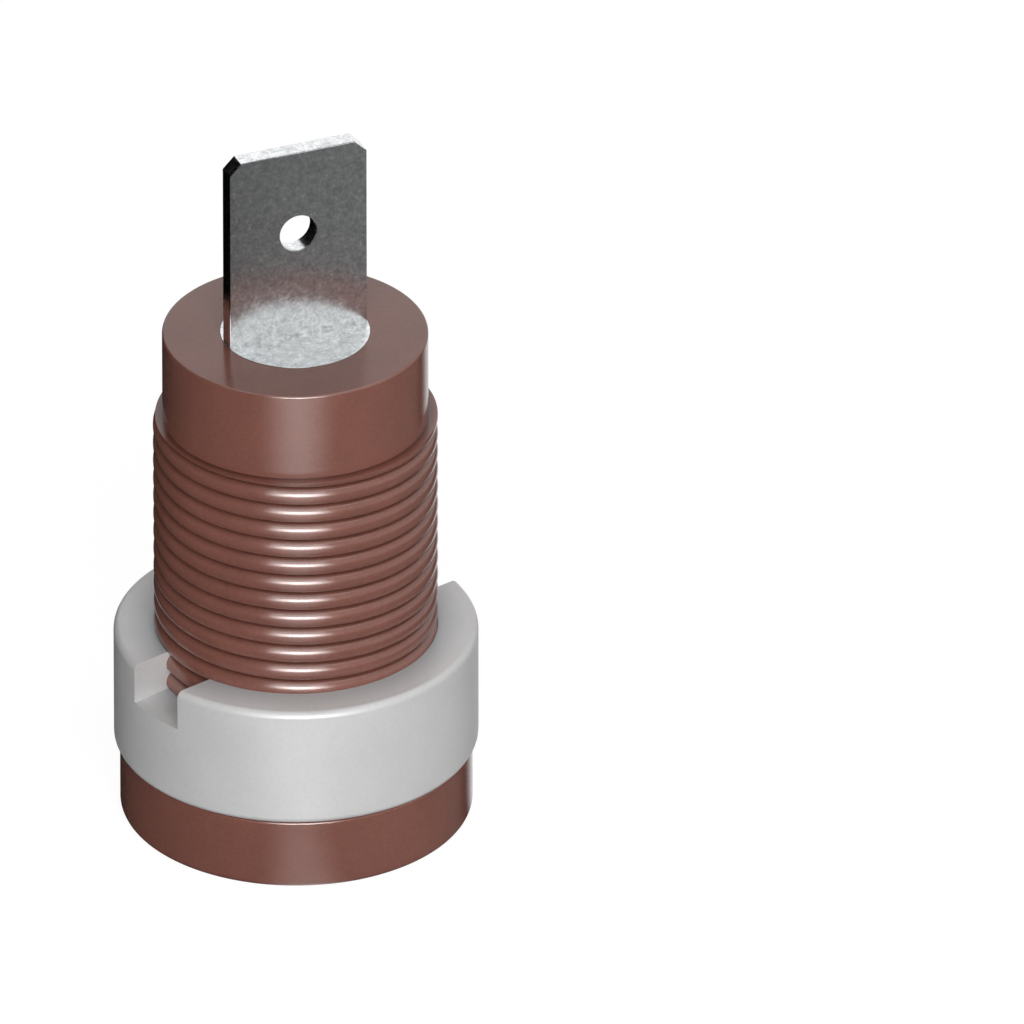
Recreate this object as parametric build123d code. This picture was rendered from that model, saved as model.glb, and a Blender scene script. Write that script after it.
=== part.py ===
from build123d import *
import math
import os

# Panel-mount safety banana connector, in millimetres
# Origin at the centre of the mating face, +Z towards the rear tab, +X along the tab's width

# Insulator: collar, threaded shank and rear stub, from the mating face to the rear face
COLLAR_OVERHANG = 1.45
COLLAR_H = 3.2
COLLAR_FRONT_FILLET = 0.3
COLLAR_BACK_CHAMFER = 0.1
SHANK_LENGTH = 15.65
STUB_STEP = 0.4
STUB_LENGTH = 3.95
STUB_EDGE_CHAMFER = 0.1

# Outside thread: flat crests and V grooves, with its turns drawn as closed rings
THREAD_D = 12.0
THREAD_PITCH = 0.85
THREAD_DEPTH = 0.31
THREAD_CREST = 0.25
RELIEF_LENGTH = 0.7
RELIEF_DEPTH = 0.4

# Ring-shaped groove for the plug's sheath, and the post that stands inside it
SHEATH_GROOVE_WIDTH = 1.1
SHEATH_MOUTH_CHAMFER = 0.3
REAR_WALL = 3.2
POST_WALL = 0.49
POST_RECESS = 0.8
POST_LIP = 0.9
POST_LIP_CLEARANCE = 0.15
POST_MOUTH_FLARE = 0.4

# Turned and milled metal contact: tube with the plug bore, barbed round head and flat tab
PLUG_BORE_D = 4.0
DRILL_POINT_ANGLE = 118
TUBE_WALL = 0.5
TUBE_MOUTH_CHAMFER = 0.2
SEAT_CLEARANCE = 0.01
HEAD_SEAT_WALL = 1.0
HEAD_WEB = 2.1
HEAD_PROUD = 0.05
HEAD_RIM = 0.025
BARB_HEIGHT = 0.15
BARB_LENGTH = 0.5
BARB_COUNT = 2
BARB_SETBACK = 0.35
TAB_WIDTH = 6.2
TAB_THICKNESS = 0.8
TAB_HEIGHT = 8.8
TAB_CORNER = 0.52
TAB_HOLE_D = 1.65
TAB_HOLE_TO_TIP = 3.87

# Slotted round nut, run down against the collar
NUT_WALL = 1.65
NUT_H = 5.4
NUT_GAP = 0.05
NUT_RUNNING_CLEARANCE = 0.05
NUT_EDGE_FILLET = 0.3
NUT_LEAD_CHAMFER = 0.25
NUT_SLOT_WIDTH = 2.9
NUT_SLOT_DEPTH = 1.8
NUT_SLOT_ANGLE = 17

# Radii that follow from the sizes above
THREAD_R = THREAD_D / 2
ROOT_R = THREAD_R - THREAD_DEPTH
RELIEF_R = THREAD_R - RELIEF_DEPTH
COLLAR_R = THREAD_R + COLLAR_OVERHANG
STUB_R = THREAD_R - STUB_STEP
BORE_R = PLUG_BORE_D / 2
TUBE_R = BORE_R + TUBE_WALL
TUBE_SEAT_R = TUBE_R + SEAT_CLEARANCE
POST_R = TUBE_SEAT_R + POST_WALL
POST_LIP_R = BORE_R + POST_LIP_CLEARANCE
POST_MOUTH_R = POST_LIP_R + POST_MOUTH_FLARE
GROOVE_R = POST_R + SHEATH_GROOVE_WIDTH
HEAD_R = math.hypot(TAB_WIDTH, TAB_THICKNESS) / 2 + HEAD_RIM
HEAD_SEAT_R = HEAD_R + SEAT_CLEARANCE
NUT_BORE_R = THREAD_R + NUT_RUNNING_CLEARANCE
NUT_R = NUT_BORE_R + NUT_WALL

# Heights above the mating face that follow from the sizes above
SHANK_TOP = COLLAR_H + SHANK_LENGTH
REAR_FACE = SHANK_TOP + STUB_LENGTH
GROOVE_END = REAR_FACE - REAR_WALL
POST_LIP_TOP = POST_RECESS + POST_LIP
HEAD_FLOOR = GROOVE_END + HEAD_SEAT_WALL
HEAD_TOP = REAR_FACE + HEAD_PROUD
DRILL_TIP = HEAD_TOP - HEAD_WEB
BORE_END = DRILL_TIP - BORE_R / math.tan(math.radians(DRILL_POINT_ANGLE / 2))
TAB_TIP = REAR_FACE + TAB_HEIGHT
NUT_FRONT = COLLAR_H + NUT_GAP
NUT_REAR = NUT_FRONT + NUT_H
CUT_MARGIN = 1.0


def turned(outline):
    """Solid turned about the axis from the (radius, height) corners of its half section."""
    section = make_face(Polyline(*[(r, 0, z) for r, z in outline], close=True))
    return revolve(section, Axis.Z)


def rim(solid, radius, height):
    """Round edges of a solid that have this radius and lie at this height."""
    found = []
    for edge in solid.edges().filter_by(GeomType.CIRCLE):
        if abs(edge.radius - radius) < 1e-4 and abs(edge.arc_center.Z - height) < 1e-4:
            found.append(edge)
    return found


def thread_outline():
    """Corners of the shank's outside from the relief up to its end, with a V groove for each turn."""
    low = COLLAR_H + RELIEF_LENGTH
    half_groove = (THREAD_PITCH - THREAD_CREST) / 2
    first = SHANK_TOP - THREAD_CREST - half_groove
    count = int((first - half_groove - low) / THREAD_PITCH) + 1
    corners = [(RELIEF_R, COLLAR_H), (RELIEF_R, low), (THREAD_R, low)]
    for turn in reversed(range(count)):
        middle = first - turn * THREAD_PITCH
        corners += [(THREAD_R, middle - half_groove), (ROOT_R, middle), (THREAD_R, middle + half_groove)]
    return corners + [(THREAD_R, SHANK_TOP)]


def barb_outline(head_r):
    """Corners of the saw-toothed rings on the contact's head, from the front one to the rear one."""
    corners = []
    for barb in range(BARB_COUNT):
        foot = HEAD_FLOOR + BARB_SETBACK + barb * BARB_LENGTH
        corners += [(head_r, foot), (head_r + BARB_HEIGHT, foot + BARB_LENGTH)]
    return corners + [(head_r, HEAD_FLOOR + BARB_SETBACK + BARB_COUNT * BARB_LENGTH)]


def insulator_body():
    """Moulding with the collar, threaded shank, stub, sheath groove and post."""
    outside = [(GROOVE_R, 0), (COLLAR_R, 0), (COLLAR_R, COLLAR_H)]
    outside += thread_outline()
    outside += [(STUB_R, SHANK_TOP), (STUB_R, REAR_FACE)]
    inside = [(HEAD_SEAT_R, HEAD_FLOOR)] + barb_outline(HEAD_SEAT_R) + [(HEAD_SEAT_R, REAR_FACE)]
    inside.reverse()
    inside += [(TUBE_SEAT_R, HEAD_FLOOR), (TUBE_SEAT_R, POST_LIP_TOP), (POST_LIP_R, POST_LIP_TOP)]
    inside += [(POST_MOUTH_R, POST_RECESS), (POST_R, POST_RECESS), (POST_R, GROOVE_END)]
    body = turned(outside + inside + [(GROOVE_R, GROOVE_END)])

    body = fillet(rim(body, COLLAR_R, 0), COLLAR_FRONT_FILLET)
    body = chamfer(rim(body, COLLAR_R, COLLAR_H), COLLAR_BACK_CHAMFER)
    body = chamfer(rim(body, STUB_R, REAR_FACE), STUB_EDGE_CHAMFER)
    return chamfer(rim(body, GROOVE_R, 0), SHEATH_MOUTH_CHAMFER)


def tab_contact():
    """Metal piece turned from one bar, with its rear end milled down to the flat tab."""
    outline = [(BORE_R, POST_LIP_TOP), (TUBE_R, POST_LIP_TOP), (TUBE_R, HEAD_FLOOR), (HEAD_R, HEAD_FLOOR)]
    outline += barb_outline(HEAD_R)
    outline += [(HEAD_R, HEAD_TOP), (0, HEAD_TOP), (0, DRILL_TIP), (BORE_R, BORE_END)]
    contact = turned(outline)
    contact = chamfer(rim(contact, BORE_R, POST_LIP_TOP), TUBE_MOUTH_CHAMFER)

    half = TAB_WIDTH / 2
    shoulder = TAB_TIP - TAB_CORNER
    right_side = [(half, REAR_FACE), (half, shoulder), (half - TAB_CORNER, TAB_TIP)]
    left_side = [(-x, z) for x, z in reversed(right_side)]
    blank = make_face(Polyline(*[(x, 0, z) for x, z in right_side + left_side], close=True))
    tab = extrude(blank, TAB_THICKNESS / 2, dir=(0, 1, 0), both=True)
    hole = Pos(0, 0, TAB_TIP - TAB_HOLE_TO_TIP) * Rot(90, 0, 0) * Cylinder(TAB_HOLE_D / 2, TAB_WIDTH)
    return contact + (tab - hole)


def ring_nut():
    """Round nut with two driver slots across its rear face."""
    outline = [(NUT_BORE_R, NUT_FRONT), (NUT_R, NUT_FRONT), (NUT_R, NUT_REAR), (NUT_BORE_R, NUT_REAR)]
    nut = turned(outline)
    nut = fillet(rim(nut, NUT_R, NUT_FRONT) + rim(nut, NUT_R, NUT_REAR), NUT_EDGE_FILLET)
    nut = chamfer(rim(nut, NUT_BORE_R, NUT_FRONT), NUT_LEAD_CHAMFER)
    cutter = Box(2 * NUT_R + CUT_MARGIN, NUT_SLOT_WIDTH, NUT_SLOT_DEPTH + CUT_MARGIN)
    cutter = Pos(0, 0, NUT_REAR + (CUT_MARGIN - NUT_SLOT_DEPTH) / 2) * cutter
    return nut - Rot(0, 0, NUT_SLOT_ANGLE) * cutter


os.makedirs("parts", exist_ok=True)
export_step(insulator_body(), "parts/insulator_body.step")
export_step(tab_contact(), "parts/tab_contact.step")
export_step(ring_nut(), "parts/ring_nut.step")
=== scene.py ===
import math

import bmesh
import bpy
import numpy as np
from mathutils import Matrix, Vector


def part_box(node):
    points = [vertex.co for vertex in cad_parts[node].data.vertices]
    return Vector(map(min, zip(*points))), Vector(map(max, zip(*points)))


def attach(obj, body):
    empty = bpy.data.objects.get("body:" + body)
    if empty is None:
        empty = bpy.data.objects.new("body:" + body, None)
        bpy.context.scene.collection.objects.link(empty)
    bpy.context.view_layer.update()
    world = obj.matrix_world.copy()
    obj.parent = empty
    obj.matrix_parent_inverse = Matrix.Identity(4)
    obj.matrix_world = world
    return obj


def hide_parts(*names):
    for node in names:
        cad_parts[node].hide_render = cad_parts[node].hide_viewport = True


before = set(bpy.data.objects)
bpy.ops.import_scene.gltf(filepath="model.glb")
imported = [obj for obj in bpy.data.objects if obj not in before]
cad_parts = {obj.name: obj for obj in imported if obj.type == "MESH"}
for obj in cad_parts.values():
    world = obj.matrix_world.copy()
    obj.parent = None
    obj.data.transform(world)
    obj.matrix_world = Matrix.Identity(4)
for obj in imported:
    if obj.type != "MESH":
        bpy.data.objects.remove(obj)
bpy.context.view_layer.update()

# Sizes in millimetres, from the frame where it has them
MM = 0.001
body_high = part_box("insulator_body")[1] / MM
contact_low, contact_high = [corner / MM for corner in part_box("tab_contact")]
nut_low, nut_high = [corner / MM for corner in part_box("ring_nut")]

# Insulator
COLLAR_R = body_high.x
COLLAR_H = 3.2
COLLAR_FRONT_FILLET = 0.3
COLLAR_BACK_FILLET = 0.12
SHANK_TOP = 18.85
RELIEF_R = 5.6
RELIEF_TOP = 3.9
STUB_R = 5.6
STUB_EDGE_FILLET = 0.10
REAR_FACE = body_high.z
GROOVE_R = 4.1
GROOVE_END = 19.6
GROOVE_MOUTH = 0.3
POST_R = 3.0
POST_RECESS = 0.8
POST_LIP_TOP = contact_low.z
POST_LIP_R = 2.15
POST_MOUTH_R = 2.55
POST_EDGE_FILLET = 0.1
SMALL_FILLET = 0.05
SEAT_CLEARANCE = 0.01

# Thread: round beads with a narrow V between them; the grooves fall to the right, as pictured
THREAD_R = 6.0
THREAD_PITCH = 0.85
THREAD_DEPTH = 0.31
THREAD_LAND = 0.06
THREAD_HAND = -1
GROOVE_HEIGHT = 18.50
GROOVE_ANGLE = -112.0
SIDE_POINTS = 8
TURN_POINTS = 2 * SIDE_POINTS + 1
NUT_THREAD_GAP = 0.015

# Each side of a thread's bead is an arc from the groove up to the narrow flat crest
BEAD_SIDE = (THREAD_PITCH - THREAD_LAND) / 2
BEAD_R = (BEAD_SIDE**2 + THREAD_DEPTH**2) / (2 * THREAD_DEPTH)

# Contact
BORE_R = 2.0
TUBE_R = 2.5
TUBE_MOUTH_CHAMFER = 0.2
TUBE_EDGE_FILLET = 0.08
HEAD_R = 3.15
HEAD_FLOOR = 20.6
HEAD_PROUD = 0.015
HEAD_TOP = REAR_FACE + HEAD_PROUD
HEAD_EDGE_FILLET = 0.01
DRILL_TIP = 20.75
BORE_END = 19.55
TAB_TIP = contact_high.z
TAB_HALF_WIDTH = 3.1
TAB_THICKNESS = 0.8
TAB_CORNER = 0.52
TAB_HOLE_R = 0.825
TAB_HOLE_TO_TIP = 3.87
TAB_EDGE = 0.03
TAB_ROOT = 0.5

# Nut
NUT_R = nut_high.x
NUT_FRONT = nut_low.z
NUT_REAR = nut_high.z
NUT_EDGE_FILLET = 0.3
NUT_LEAD_CHAMFER = 0.25
NUT_SLOT_WIDTH = 2.9
NUT_SLOT_DEPTH = 1.8
NUT_SLOT_ANGLE = 17.0

# Meshes: columns of points round the axis, turn of a fillet's step and least angle of a sharp edge
COLUMNS = 192
ARC_STEP = math.radians(11)
SHARP_ANGLE = math.radians(15)

# Distances in metres under which points are one and an edge has no length
SAME_POINT = 2e-7
NO_LENGTH = 1e-7


def rounded(corners):
    """Points of an open outline whose (radius, height, fillet) corners are turned into arcs."""
    points = []
    for index, (r, z, fillet) in enumerate(corners):
        here = Vector((r, z))
        if fillet == 0 or index in (0, len(corners) - 1):
            points.append((r, z))
            continue
        back = (Vector(corners[index - 1][:2]) - here).normalized()
        ahead = (Vector(corners[index + 1][:2]) - here).normalized()
        half = back.angle(ahead) / 2
        centre = here + (back + ahead).normalized() * fillet / math.sin(half)
        start = here + back * fillet / math.tan(half)
        turn = math.pi - 2 * half
        if (start - centre).cross(here - centre) < 0:
            turn = -turn
        steps = max(2, math.ceil(abs(turn) / ARC_STEP))
        for step in range(steps + 1):
            points.append(centre + Matrix.Rotation(turn * step / steps, 2) @ (start - centre))
    return [(p[0], p[1]) for p in points]


def bead_radius(phase):
    """Radius of the outside thread at each phase of its pitch: 0 in the groove, 0.5 on the crest."""
    from_crest = np.abs(np.mod(phase, 1.0) - 0.5) * THREAD_PITCH
    along = np.maximum(from_crest - THREAD_LAND / 2, 0.0)
    return THREAD_R - BEAD_R + np.sqrt(np.maximum(BEAD_R**2 - along**2, 0.0))


def bead_phases():
    """Phases of one turn's points, from its groove upwards, evenly spaced along the bead's arcs."""
    slopes = np.arange(SIDE_POINTS, -1, -1) / SIDE_POINTS * math.asin(BEAD_SIDE / BEAD_R)
    rising = 0.5 - (THREAD_LAND / 2 + BEAD_R * np.sin(slopes)) / THREAD_PITCH
    return np.concatenate([rising, 1 - rising[:0:-1]])


def angles():
    """Angle of each column of points round the axis."""
    return np.arange(COLUMNS) * 2 * math.pi / COLUMNS


def plain_rows(points):
    """Rows of a turned surface: one ring for each (radius, height) point."""
    return [(np.full(COLUMNS, r), np.full(COLUMNS, z)) for r, z in points]


def thread_rows(low, high, grow):
    """Rows that follow the helix between two heights and are held there where they would pass them."""
    turned = angles() - math.radians(GROOVE_ANGLE)
    groove = GROOVE_HEIGHT + THREAD_HAND * THREAD_PITCH * turned / (2 * math.pi)
    spare_below, spare_above = 1, 3
    pitches_down = math.ceil((groove[0] - low) / THREAD_PITCH) + spare_below
    count = math.ceil((high - low) / THREAD_PITCH) + spare_below + spare_above
    rows = []
    for turn in range(count):
        for phase in bead_phases():
            free = groove + (turn + phase - pitches_down) * THREAD_PITCH
            height = np.clip(free, low, high)
            rows.append((bead_radius((height - groove) / THREAD_PITCH) + grow, height))
    return rows


def turned_mesh(name, rows, thread=None):
    """Mesh object of rings of points, closed from the last ring to the first.

    thread is the first and the last row of a helix, whose rows join one pitch on after each turn.
    """
    theta = angles()
    vertices = []
    for radius, height in rows:
        ring = np.stack([radius * np.cos(theta), radius * np.sin(theta), height], axis=1)
        vertices += [tuple(p) for p in ring * MM]

    def index(row, column):
        """Number of a point, past the last column too."""
        row %= len(rows)
        if column == COLUMNS and thread and thread[0] <= row <= thread[1]:
            row = max(thread[0], row + THREAD_HAND * TURN_POINTS)
        return row * COLUMNS + column % COLUMNS

    faces = []
    for row in range(len(rows)):
        for column in range(COLUMNS):
            corner = [index(row, column), index(row, column + 1)]
            corner += [index(row + 1, column + 1), index(row + 1, column)]
            faces.append(corner)
    mesh = bpy.data.meshes.new(name)
    mesh.from_pydata(vertices, [], faces)
    piece = bpy.data.objects.new(name, mesh)
    bpy.context.scene.collection.objects.link(piece)
    tidy(piece)
    return piece


def tidy(piece):
    """Merges points, drops what has no area, faces the surface outwards and marks its sharp edges."""
    bm = bmesh.new()
    bm.from_mesh(piece.data)
    bmesh.ops.remove_doubles(bm, verts=bm.verts, dist=SAME_POINT)
    bmesh.ops.dissolve_degenerate(bm, edges=bm.edges, dist=NO_LENGTH)
    bmesh.ops.delete(bm, geom=[e for e in bm.edges if not e.link_faces], context="EDGES")
    bmesh.ops.recalc_face_normals(bm, faces=bm.faces)
    for face in bm.faces:
        face.smooth = True
    for edge in bm.edges:
        edge.smooth = len(edge.link_faces) == 2 and edge.calc_face_angle(0) < SHARP_ANGLE
    bm.to_mesh(piece.data)
    bm.free()


def apply_boolean(piece, other, operation):
    """Joins or cuts a piece with another object, which is used up."""
    modifier = piece.modifiers.new(operation, "BOOLEAN")
    modifier.object = other
    modifier.operation = operation
    modifier.solver = "EXACT"
    graph = bpy.context.evaluated_depsgraph_get()
    mesh = bpy.data.meshes.new_from_object(piece.evaluated_get(graph))
    piece.modifiers.clear()
    piece.data = mesh
    bpy.data.objects.remove(other)
    tidy(piece)


def insulator():
    """Brown moulding with the collar, the helical thread, the stub, the sheath groove and the post."""
    below = [
        (GROOVE_R, GROOVE_END, 0),
        (GROOVE_R, GROOVE_MOUTH, SMALL_FILLET),
        (GROOVE_R + GROOVE_MOUTH, 0, SMALL_FILLET),
        (COLLAR_R, 0, COLLAR_FRONT_FILLET),
        (COLLAR_R, COLLAR_H, COLLAR_BACK_FILLET),
        (RELIEF_R, COLLAR_H, SMALL_FILLET),
        (RELIEF_R, RELIEF_TOP, 0),
    ]
    above = [
        (THREAD_R - THREAD_DEPTH, SHANK_TOP, 0),
        (STUB_R, SHANK_TOP, 0),
        (STUB_R, REAR_FACE, STUB_EDGE_FILLET),
        (HEAD_R + SEAT_CLEARANCE, REAR_FACE, 0),
        (HEAD_R + SEAT_CLEARANCE, HEAD_FLOOR, 0),
        (TUBE_R + SEAT_CLEARANCE, HEAD_FLOOR, 0),
        (TUBE_R + SEAT_CLEARANCE, POST_LIP_TOP, 0),
        (POST_LIP_R, POST_LIP_TOP, SMALL_FILLET),
        (POST_MOUTH_R, POST_RECESS, SMALL_FILLET),
        (POST_R, POST_RECESS, POST_EDGE_FILLET),
        (POST_R, GROOVE_END, 0),
    ]
    rows = plain_rows(rounded(below))
    helix = thread_rows(RELIEF_TOP, SHANK_TOP, 0)
    first = len(rows)
    rows += helix + plain_rows(rounded(above)[1:])
    return turned_mesh("insulator_moulding", rows, thread=(first, first + len(helix) - 1))


def contact():
    """Plated metal piece: tube, round head and the flat tab that is milled from the same bar."""
    corners = [
        (BORE_R, BORE_END, 0),
        (BORE_R, POST_LIP_TOP + TUBE_MOUTH_CHAMFER, 0),
        (BORE_R + TUBE_MOUTH_CHAMFER, POST_LIP_TOP, 0),
        (TUBE_R, POST_LIP_TOP, TUBE_EDGE_FILLET),
        (TUBE_R, HEAD_FLOOR, 0),
        (HEAD_R, HEAD_FLOOR, 0),
        (HEAD_R, HEAD_TOP, HEAD_EDGE_FILLET),
        (0, HEAD_TOP, 0),
        (0, DRILL_TIP, 0),
    ]
    piece = turned_mesh("plated_contact", plain_rows(rounded(corners)))
    apply_boolean(piece, blade(), "UNION")
    return piece


def blade():
    """Flat tab with its two clipped corners, its hole and slightly broken edges."""
    shoulder = TAB_TIP - TAB_CORNER
    right = [(TAB_HALF_WIDTH, HEAD_TOP - TAB_ROOT), (TAB_HALF_WIDTH, shoulder)]
    right.append((TAB_HALF_WIDTH - TAB_CORNER, TAB_TIP))
    outline = right + [(-x, z) for x, z in reversed(right)]
    hole_steps = 64
    hole_z = TAB_TIP - TAB_HOLE_TO_TIP

    bm = bmesh.new()
    corners = [bm.verts.new((x * MM, -TAB_THICKNESS / 2 * MM, z * MM)) for x, z in outline]
    for start, end in zip(corners, corners[1:] + corners[:1]):
        bm.edges.new((start, end))
    ring = []
    for step in range(hole_steps):
        a = 2 * math.pi * step / hole_steps
        x, z = TAB_HOLE_R * math.cos(a), hole_z + TAB_HOLE_R * math.sin(a)
        ring.append(bm.verts.new((x * MM, -TAB_THICKNESS / 2 * MM, z * MM)))
    for start, end in zip(ring, ring[1:] + ring[:1]):
        bm.edges.new((start, end))
    bmesh.ops.triangle_fill(bm, use_beauty=True, edges=bm.edges)
    front = bm.faces[:]
    grown = bmesh.ops.extrude_face_region(bm, geom=front, use_keep_orig=True)
    moved = [v for v in grown["geom"] if isinstance(v, bmesh.types.BMVert)]
    bmesh.ops.translate(bm, verts=moved, vec=(0, TAB_THICKNESS * MM, 0))
    bmesh.ops.recalc_face_normals(bm, faces=bm.faces)
    outside = [e for e in bm.edges if e.calc_face_angle(0) > SHARP_ANGLE]
    bmesh.ops.bevel(bm, geom=outside, offset=TAB_EDGE * MM, segments=2, profile=0.5, affect="EDGES")
    mesh = bpy.data.meshes.new("blade")
    bm.to_mesh(mesh)
    bm.free()
    piece = bpy.data.objects.new("blade", mesh)
    bpy.context.scene.collection.objects.link(piece)
    return piece


def nut():
    """Round nut with its inside thread and two driver slots."""
    outside = [
        (THREAD_R, NUT_REAR, 0),
        (NUT_R, NUT_REAR, NUT_EDGE_FILLET),
        (NUT_R, NUT_FRONT, NUT_EDGE_FILLET),
        (THREAD_R + NUT_LEAD_CHAMFER, NUT_FRONT, 0),
    ]
    helix = thread_rows(NUT_FRONT + NUT_LEAD_CHAMFER, NUT_REAR, NUT_THREAD_GAP)
    rows = helix + plain_rows(rounded(outside)[1:])
    piece = turned_mesh("slotted_nut", rows, thread=(0, len(helix) - 1))

    mesh = bpy.data.meshes.new("slot_cutter")
    bm = bmesh.new()
    bmesh.ops.create_cube(bm, size=1)
    spare = 1.0
    size = (2 * NUT_R + spare, NUT_SLOT_WIDTH, NUT_SLOT_DEPTH + spare)
    middle = NUT_REAR + (spare - NUT_SLOT_DEPTH) / 2
    bmesh.ops.transform(bm, verts=bm.verts, matrix=Matrix.Diagonal((*[s * MM for s in size], 1)))
    bmesh.ops.translate(bm, verts=bm.verts, vec=(0, 0, middle * MM))
    turn = Matrix.Rotation(math.radians(NUT_SLOT_ANGLE), 4, "Z")
    bmesh.ops.transform(bm, verts=bm.verts, matrix=turn)
    bm.to_mesh(mesh)
    bm.free()
    cutter = bpy.data.objects.new("slot_cutter", mesh)
    bpy.context.scene.collection.objects.link(cutter)
    apply_boolean(piece, cutter, "DIFFERENCE")
    return piece


def node_adder(owner):
    """Clears the nodes of a material or world and returns a function that adds, sets and links one."""
    owner.use_nodes = True
    tree = owner.node_tree
    tree.nodes.clear()

    def add(kind, links=None, **values):
        """New node, with values for its inputs or its own settings and links to its inputs."""
        node = tree.nodes.new(kind)
        for key, value in values.items():
            if key in node.inputs:
                node.inputs[key].default_value = value
            else:
                setattr(node, key, value)
        for key, socket in (links or {}).items():
            tree.links.new(socket, node.inputs[key])
        return node

    return add


def new_material(name):
    """Empty material and the function that fills it."""
    material = bpy.data.materials.new(name)
    return material, node_adder(material)


def place(add):
    """Coordinates on the piece, in millimetres."""
    coordinates = add("ShaderNodeTexCoord").outputs["Object"]
    return add("ShaderNodeMapping", {"Vector": coordinates}, Scale=(1 / MM,) * 3).outputs["Vector"]


def ramp(add, factor, stops):
    """Colour ramp through (position, colour) stops, where a number stands for a grey."""
    node = add("ShaderNodeValToRGB", {"Fac": factor})
    elements = node.color_ramp.elements
    while len(elements) < len(stops):
        elements.new(0.5)
    for element, (position, colour) in zip(elements, stops):
        element.position = position
        element.color = (colour,) * 3 + (1,) if isinstance(colour, float) else (*colour, 1)
    return node.outputs["Color"]


# Where the painted shade in a hollow ends: millimetres inside the inner radius, and how far a face looks
# up
WELL_INSIDE = 0.3
LOOKS_UP = 0.5


def unshaded_share(add, here, inner, outer, zone):
    """Share of the plain colour that a hollow's painted shade leaves: 0 at the inner radius, 1 from the
    outer one on and 1 well inside them.

    It is also 1 outside the zone, a middle height and a half length. Where the zone is None, it is also 1
    on faces that don't look up.
    """
    across = add("ShaderNodeVectorMath", {0: here}, operation="MULTIPLY")
    across.inputs[1].default_value = (1, 1, 0)
    length = add("ShaderNodeVectorMath", {0: across.outputs["Vector"]}, operation="LENGTH")
    radius = length.outputs["Value"]
    share = add("ShaderNodeMapRange", {"Value": radius})
    share.inputs["From Min"].default_value = inner
    share.inputs["From Max"].default_value = outer

    def compare(value, operation, limit):
        """A number beside a limit, or the result of another operation on the two."""
        node = add("ShaderNodeMath", {0: value}, operation=operation)
        node.inputs[1].default_value = limit
        return node.outputs[0]

    if zone is None:
        normal = add("ShaderNodeNewGeometry").outputs["Normal"]
        upwards = add("ShaderNodeSeparateXYZ", {"Vector": normal}).outputs["Z"]
        plain = compare(upwards, "LESS_THAN", LOOKS_UP)
    else:
        height = add("ShaderNodeSeparateXYZ", {"Vector": here}).outputs["Z"]
        offset = add("ShaderNodeMath", {0: compare(height, "SUBTRACT", zone[0])}, operation="ABSOLUTE")
        plain = compare(offset.outputs[0], "GREATER_THAN", zone[1])
    well_inside = compare(radius, "LESS_THAN", inner - WELL_INSIDE)
    total = share.outputs["Result"]
    for other in (plain, well_inside):
        total = add("ShaderNodeMath", {0: total, 1: other}, operation="MAXIMUM").outputs[0]
    return total


# Height in metres that stands for the whole range of a bump's noise
BUMP_HEIGHT = 0.02 * MM


def plastic(name, dark, light, rough, grain, hollow_shade):
    """Moulded plastic: a faint speckle and faint clouds in its colour, uneven gloss, a fine grain and
    painted shade in a hollow.

    Its last argument paints shade into its colour between two radii: the inner and outer one, the zone
    and the tint at the inner one.
    """
    material, add = new_material(name)
    here = place(add)
    cloud = add("ShaderNodeTexNoise", {"Vector": here}, Scale=0.35, Detail=4.0, Roughness=0.55)
    fine = add("ShaderNodeTexNoise", {"Vector": here}, Scale=6.0, Detail=4.0, Roughness=0.6)
    shade = add("ShaderNodeMix", {"A": cloud.outputs["Fac"], "B": fine.outputs["Fac"]}, Factor=0.5)
    plain = ramp(add, shade.outputs["Result"], [(0.3, dark), (0.7, light)])
    # Painted shade: the colour darkens towards the tint at the inner radius
    inner, outer, zone, shade_tint = hollow_shade
    shade_factor = ramp(add, unshaded_share(add, here, inner, outer, zone), [(0.0, shade_tint), (1.0, 1.0)])
    colour = add("ShaderNodeVectorMath", {0: plain, 1: shade_factor}, operation="MULTIPLY").outputs["Vector"]
    gloss = add("ShaderNodeTexNoise", {"Vector": here}, Scale=2.2, Detail=3.0)
    roughness = ramp(add, gloss.outputs["Fac"], [(0.3, rough[0]), (0.7, rough[1])])
    bump = add("ShaderNodeBump", {"Height": fine.outputs["Fac"]}, Strength=grain, Distance=BUMP_HEIGHT)
    shader = add(
        "ShaderNodeBsdfPrincipled",
        {"Base Color": colour, "Roughness": roughness, "Normal": bump.outputs["Normal"]},
        IOR=1.5,
    )
    add("ShaderNodeOutputMaterial", {"Surface": shader.outputs["BSDF"]})
    return material


def plated_metal():
    """Dull nickel plating: cloudy blotches, a fine speckle and a soft sheen."""
    material, add = new_material("dull_nickel")
    here = place(add)
    blotch = add("ShaderNodeTexNoise", {"Vector": here}, Scale=2.4, Detail=6.0, Roughness=0.66)
    speckle = add("ShaderNodeTexNoise", {"Vector": here}, Scale=7.0, Detail=5.0, Roughness=0.7)
    mixed = add("ShaderNodeMix", {"A": blotch.outputs["Fac"], "B": speckle.outputs["Fac"]}, Factor=0.5)
    shade = mixed.outputs["Result"]
    colour = ramp(add, shade, [(0.41, (0.59, 0.61, 0.62)), (0.59, (0.95, 0.965, 0.97))])
    roughness = ramp(add, shade, [(0.35, 0.18), (0.65, 0.28)])
    bump = add("ShaderNodeBump", {"Height": shade}, Strength=0.03, Distance=BUMP_HEIGHT)
    shader = add(
        "ShaderNodeBsdfPrincipled",
        {"Base Color": colour, "Roughness": roughness, "Normal": bump.outputs["Normal"]},
        Metallic=1.0,
    )
    add("ShaderNodeOutputMaterial", {"Surface": shader.outputs["BSDF"]})
    return material


def dress(piece, material, node, body):
    """Gives a piece its material and puts it in the place of the CAD node that it stands for."""
    piece.data.materials.clear()
    piece.data.materials.append(material)
    shading = piece.modifiers.new("flat_faces_shade_flat", "WEIGHTED_NORMAL")
    shading.keep_sharp = True
    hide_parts(node)
    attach(piece, body)


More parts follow.
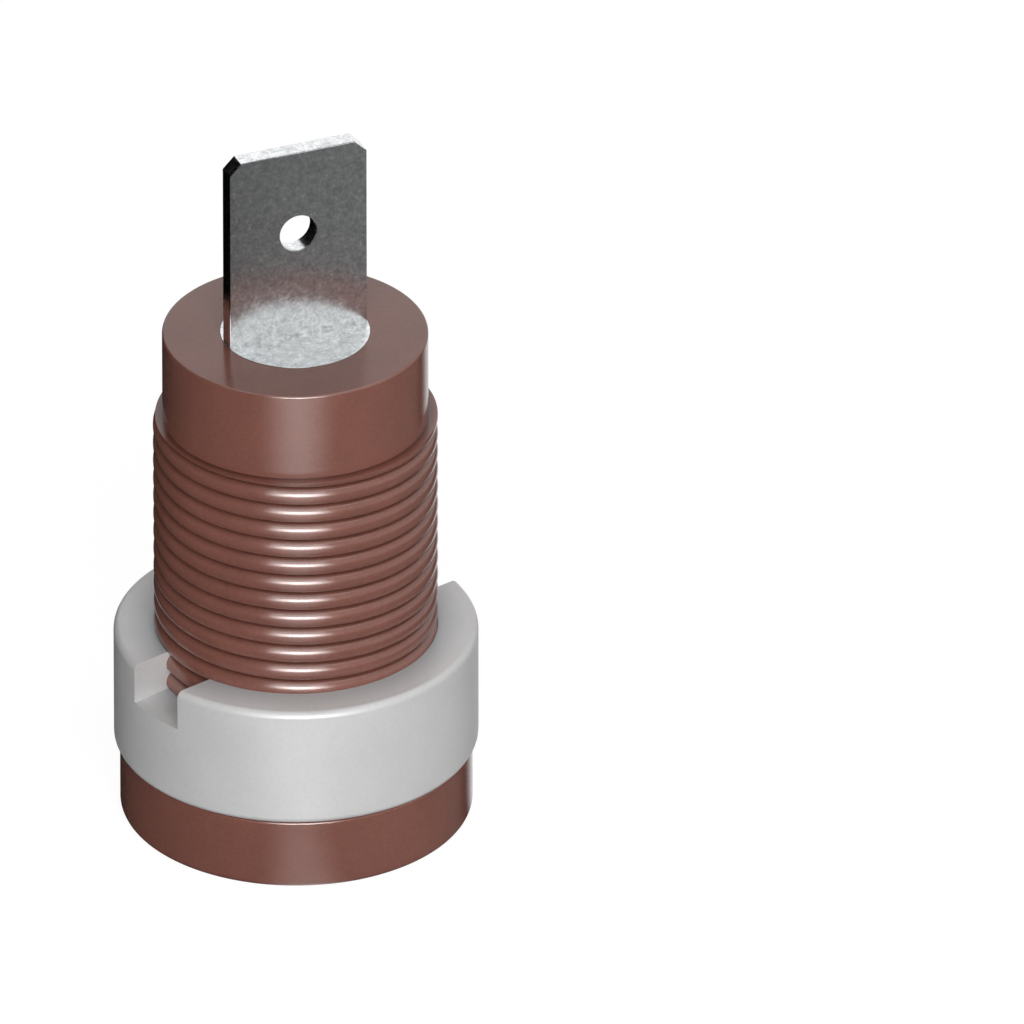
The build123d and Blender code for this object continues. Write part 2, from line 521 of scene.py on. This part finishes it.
# Camera: seen from 30 degrees above, 22 degrees to the left of the tab's broad face
FRAME_PIXELS = 1024
PIXELS_PER_MM = 23.65
ORIGIN_PIXEL = (296.5, 798.9)
CAMERA_AZIMUTH = math.radians(-22)
CAMERA_ELEVATION = math.radians(30)
LENS = 1500.0
SENSOR = 36.0

# Nearest and farthest that it sees, as multiples of its own distance
CLIP_START = 0.1
CLIP_END = 10


def make_camera():
    """Long lens that frames the object where the picture has it, with nothing shifted."""
    data = bpy.data.cameras.new("camera")
    data.lens = LENS
    data.sensor_width = SENSOR
    camera = bpy.data.objects.new("camera", data)
    bpy.context.scene.collection.objects.link(camera)
    bpy.context.scene.camera = camera

    a, e = CAMERA_AZIMUTH, CAMERA_ELEVATION
    back = Vector((math.sin(a) * math.cos(e), -math.cos(a) * math.cos(e), math.sin(e)))
    turn = (-back).to_track_quat("-Z", "Y")
    right, up = turn @ Vector((1, 0, 0)), turn @ Vector((0, 1, 0))
    centre = FRAME_PIXELS / 2
    sideways = (centre - ORIGIN_PIXEL[0]) / PIXELS_PER_MM * MM
    upwards = (ORIGIN_PIXEL[1] - centre) / PIXELS_PER_MM * MM
    distance = FRAME_PIXELS / PIXELS_PER_MM * MM * LENS / SENSOR
    camera.location = right * sideways + up * upwards + back * distance
    camera.rotation_mode = "QUATERNION"
    camera.rotation_quaternion = turn
    data.clip_start = distance * CLIP_START
    data.clip_end = distance * CLIP_END


def polar(azimuth, height, distance):
    """Point at a distance from the axis, on the side that a camera at this azimuth would stand."""
    a = math.radians(azimuth)
    return Vector((math.sin(a) * distance, -math.cos(a) * distance, height))


def softbox(name, azimuth, height, distance, size, radiance, mirrored=False):
    """Rectangular lamp that faces the object, unseen by the camera and by gloss unless it is mirrored."""
    data = bpy.data.lights.new(name, "AREA")
    data.shape = "RECTANGLE"
    data.size, data.size_y = size
    data.energy = radiance * math.pi * size[0] * size[1]
    lamp = bpy.data.objects.new(name, data)
    bpy.context.scene.collection.objects.link(lamp)
    lamp.location = polar(azimuth, height, distance)
    aim = Vector((0, 0, body_high.z / 2 * MM)) - lamp.location
    lamp.rotation_mode = "QUATERNION"
    lamp.rotation_quaternion = aim.to_track_quat("-Z", "Y")
    lamp.visible_camera = False
    lamp.visible_glossy = mirrored
    return lamp


def card(name, near, far, ends=None):
    """Card round the object, which only reflections see.

    near and far are its two long edges: first and last azimuth, distance, height and radiance.
    ends are the radiances to which it fades at its first and last azimuth.
    """
    steps = 48
    bm = bmesh.new()
    glow = bm.verts.layers.float.new("glow")
    columns = []
    for step in range(steps + 1):
        share = 1.0 if ends is None else math.sin(math.pi * step / steps) ** 2
        end = 0.0 if ends is None else ends[2 * step // (steps + 1)]
        column = []
        for first, last, distance, height, radiance in (near, far):
            azimuth = first + (last - first) * step / steps
            column.append(bm.verts.new(polar(azimuth, height, distance)))
            column[-1][glow] = radiance * share + end * (1 - share)
        columns.append(column)
    for one, two in zip(columns, columns[1:]):
        bm.faces.new((one[0], two[0], two[1], one[1]))
    mesh = bpy.data.meshes.new(name)
    bm.to_mesh(mesh)
    bm.free()
    piece = bpy.data.objects.new(name, mesh)
    bpy.context.scene.collection.objects.link(piece)
    material, add = new_material(name)
    strength = add("ShaderNodeAttribute", attribute_name="glow").outputs["Fac"]
    shown = add("ShaderNodeEmission", {"Strength": strength}, Color=(1, 1, 1, 1))
    add("ShaderNodeOutputMaterial", {"Surface": shown.outputs["Emission"]})
    mesh.materials.append(material)
    piece.visible_camera = False
    piece.visible_diffuse = False
    piece.visible_shadow = False
    piece.visible_transmission = False
    return piece


def keep_off(lights, piece):
    """Keeps some of the lights off one piece, as a flag between them would."""
    flagged = bpy.data.collections.new("flagged")
    flagged.objects.link(piece)
    flagged.collection_objects[0].light_linking.link_state = "EXCLUDE"
    for light in lights:
        light.light_linking.receiver_collection = flagged


def seen_directly(add):
    """1 for rays from the camera and for those that a mirror or glass sends on, and 0 for lighting."""
    path = add("ShaderNodeLightPath")
    total = path.outputs["Is Camera Ray"]
    for other in ("Is Glossy Ray", "Is Transmission Ray"):
        larger = add("ShaderNodeMath", {0: total, 1: path.outputs[other]}, operation="MAXIMUM")
        total = larger.outputs[0]
    return total


# Floor: half size and depth in metres, its grey and glow where it is seen, and its grey as a reflector
FLOOR_SIZE = 4.0
FLOOR_DEPTH = 2e-5
FLOOR_GREY = 0.18
FLOOR_GLOW = 0.91
FLOOR_BOUNCE = 0.46


def make_floor():
    """Pale floor with the object's soft shadow, which throws little light back up."""
    mesh = bpy.data.meshes.new("floor")
    square = [(-1, -1), (1, -1), (1, 1), (-1, 1)]
    corners = [(x * FLOOR_SIZE, y * FLOOR_SIZE, -FLOOR_DEPTH) for x, y in square]
    mesh.from_pydata(corners, [], [(0, 1, 2, 3)])
    floor = bpy.data.objects.new("floor", mesh)
    bpy.context.scene.collection.objects.link(floor)
    material, add = new_material("pale_floor")
    lit = add("ShaderNodeBsdfDiffuse", Color=(FLOOR_GREY,) * 3 + (1,)).outputs["BSDF"]
    white = add("ShaderNodeEmission", Color=(1, 1, 1, 1), Strength=FLOOR_GLOW).outputs["Emission"]
    shown = add("ShaderNodeAddShader", {0: lit, 1: white}).outputs["Shader"]
    dim = add("ShaderNodeBsdfDiffuse", Color=(FLOOR_BOUNCE,) * 3 + (1,)).outputs["BSDF"]
    both = add("ShaderNodeMixShader", {"Fac": seen_directly(add), 1: dim, 2: shown})
    add("ShaderNodeOutputMaterial", {"Surface": both.outputs["Shader"]})
    mesh.materials.append(material)


# How brightly the even fill lights the object
FILL = 0.05


def make_world():
    """White where it is seen, and a dim even fill as a light."""
    world = bpy.data.worlds.new("studio")
    bpy.context.scene.world = world
    add = node_adder(world)
    fill = add("ShaderNodeBackground", Color=(FILL,) * 3 + (1,)).outputs["Background"]
    white = add("ShaderNodeBackground", Color=(1, 1, 1, 1)).outputs["Background"]
    both = add("ShaderNodeMixShader", {"Fac": seen_directly(add), 1: fill, 2: white})
    add("ShaderNodeOutputWorld", {"Surface": both.outputs["Shader"]})


# How far the painted shade reaches: short of the thread's crest, past the thread's ends and out over the
# nut
CREST_MARGIN = 0.06
ZONE_MARGIN = 0.01
NUT_SHADE = 1.2

thread_zone = ((SHANK_TOP + COLLAR_H) / 2, (SHANK_TOP - COLLAR_H) / 2 + ZONE_MARGIN)
brown = plastic(
    "brown_plastic",
    dark=(0.184, 0.074, 0.056),
    light=(0.244, 0.099, 0.075),
    rough=(0.16, 0.19),
    grain=0.01,
    # Painted shade in the thread's valleys
    hollow_shade=(THREAD_R - THREAD_DEPTH, THREAD_R - CREST_MARGIN, thread_zone, (0.48, 0.45, 0.43)),
)
grey = plastic(
    "grey_plastic",
    dark=(0.565, 0.565, 0.565),
    light=(0.635, 0.635, 0.635),
    rough=(0.40, 0.48),
    grain=0.08,
    # Painted shade on the nut's upward faces next to the thread, slightly cool
    hollow_shade=(THREAD_R, THREAD_R + NUT_SHADE, None, (0.66, 0.70, 0.72)),
)
nickel = plated_metal()

metal = contact()
dress(insulator(), brown, "insulator_body", "socket")
dress(metal, nickel, "tab_contact", "socket")
dress(nut(), grey, "ring_nut", "nut")

make_camera()
make_floor()
make_world()

# Lamps: azimuth in degrees, height, distance and size in metres, and radiance
front = softbox("front_softbox", -18, 0.20, 0.34, (0.26, 0.34), 4.55, mirrored=True)
softbox("left_softbox", -60, 0.15, 0.35, (0.20, 0.30), 0.8)
softbox("right_softbox", 60, 0.12, 0.35, (0.20, 0.30), 2.1)
softbox("back_right_softbox", 148, 0.27, 0.30, (0.20, 0.20), 1.1)
softbox("back_softbox", 158, 0.11, 0.35, (0.20, 0.20), 2.0)
softbox("back_left_softbox", 200, 0.25, 0.30, (0.20, 0.20), 0.45)

# Cards on the floor: distances of their edges and heights in metres, glows above flags, and radiances
FOOT, NEAR, MIDDLE, FAR = 0.0073, 0.0128, 0.045, 0.30
FLAG_Z = 1e-5
GLOW_Z = 3e-5
GLOW_ENDS = (0.06, 0.06)
LEFT_GREY = 0.015
RIGHT_GREY = 0.175

# Edges that two of the floor's glows share
near_edge = (-38, -3, NEAR, GLOW_Z, 1.3)
middle_edge = (-54, 16, MIDDLE, GLOW_Z, 3.2)

# Cards that shape what gloss and metal reflect
# Each edge: first and last azimuth in degrees, distance and height in metres, and radiance
strip = card("front_strip", (-47, 12, 0.30, 0.0, 30.0), (-47, 12, 0.30, 0.15, 30.0), ends=(0.0, 0.0))
upper = card("upper_glow", (-120, 75, 0.30, 0.36, 2.5), (-120, 75, 0.30, 1.20, 2.5))
rims = card("rim_glow", (80, 236, 0.50, 0.62, 2.5), (80, 236, 0.50, 1.80, 2.5))
card("back_glow", (100, 236, 0.50, 0.13, 1.1), (100, 236, 0.50, 0.60, 1.1))
card("left_flag", (186, 318, 0.15, 0.0, 0.0), (186, 318, 0.15, 0.30, 0.0))
near_glow = card("near_floor_glow", (-36, 0, FOOT, GLOW_Z, 1.9), near_edge, ends=GLOW_ENDS)
middle_glow = card("middle_floor_glow", near_edge, middle_edge, ends=GLOW_ENDS)
far_glow = card("far_floor_glow", middle_edge, (-50, 14, FAR, GLOW_Z, 14.0), ends=GLOW_ENDS)
left = card("left_floor_flag", (168, 343, FOOT, FLAG_Z, LEFT_GREY), (168, 343, FAR, FLAG_Z, LEFT_GREY))
card("right_floor_flag", (-17, 40, FOOT, FLAG_Z, RIGHT_GREY), (-17, 102, FAR, FLAG_Z, RIGHT_GREY))
card(
    "far_right_floor_flag",
    (40, 59, FOOT, FLAG_Z, 0.0),
    (102, 138, FAR, FLAG_Z, 0.0),
    ends=(RIGHT_GREY, 0.9),
)
keep_off([front, strip, upper, rims, near_glow, middle_glow, far_glow, left], metal)

bpy.context.scene.view_settings.view_transform = "Standard"
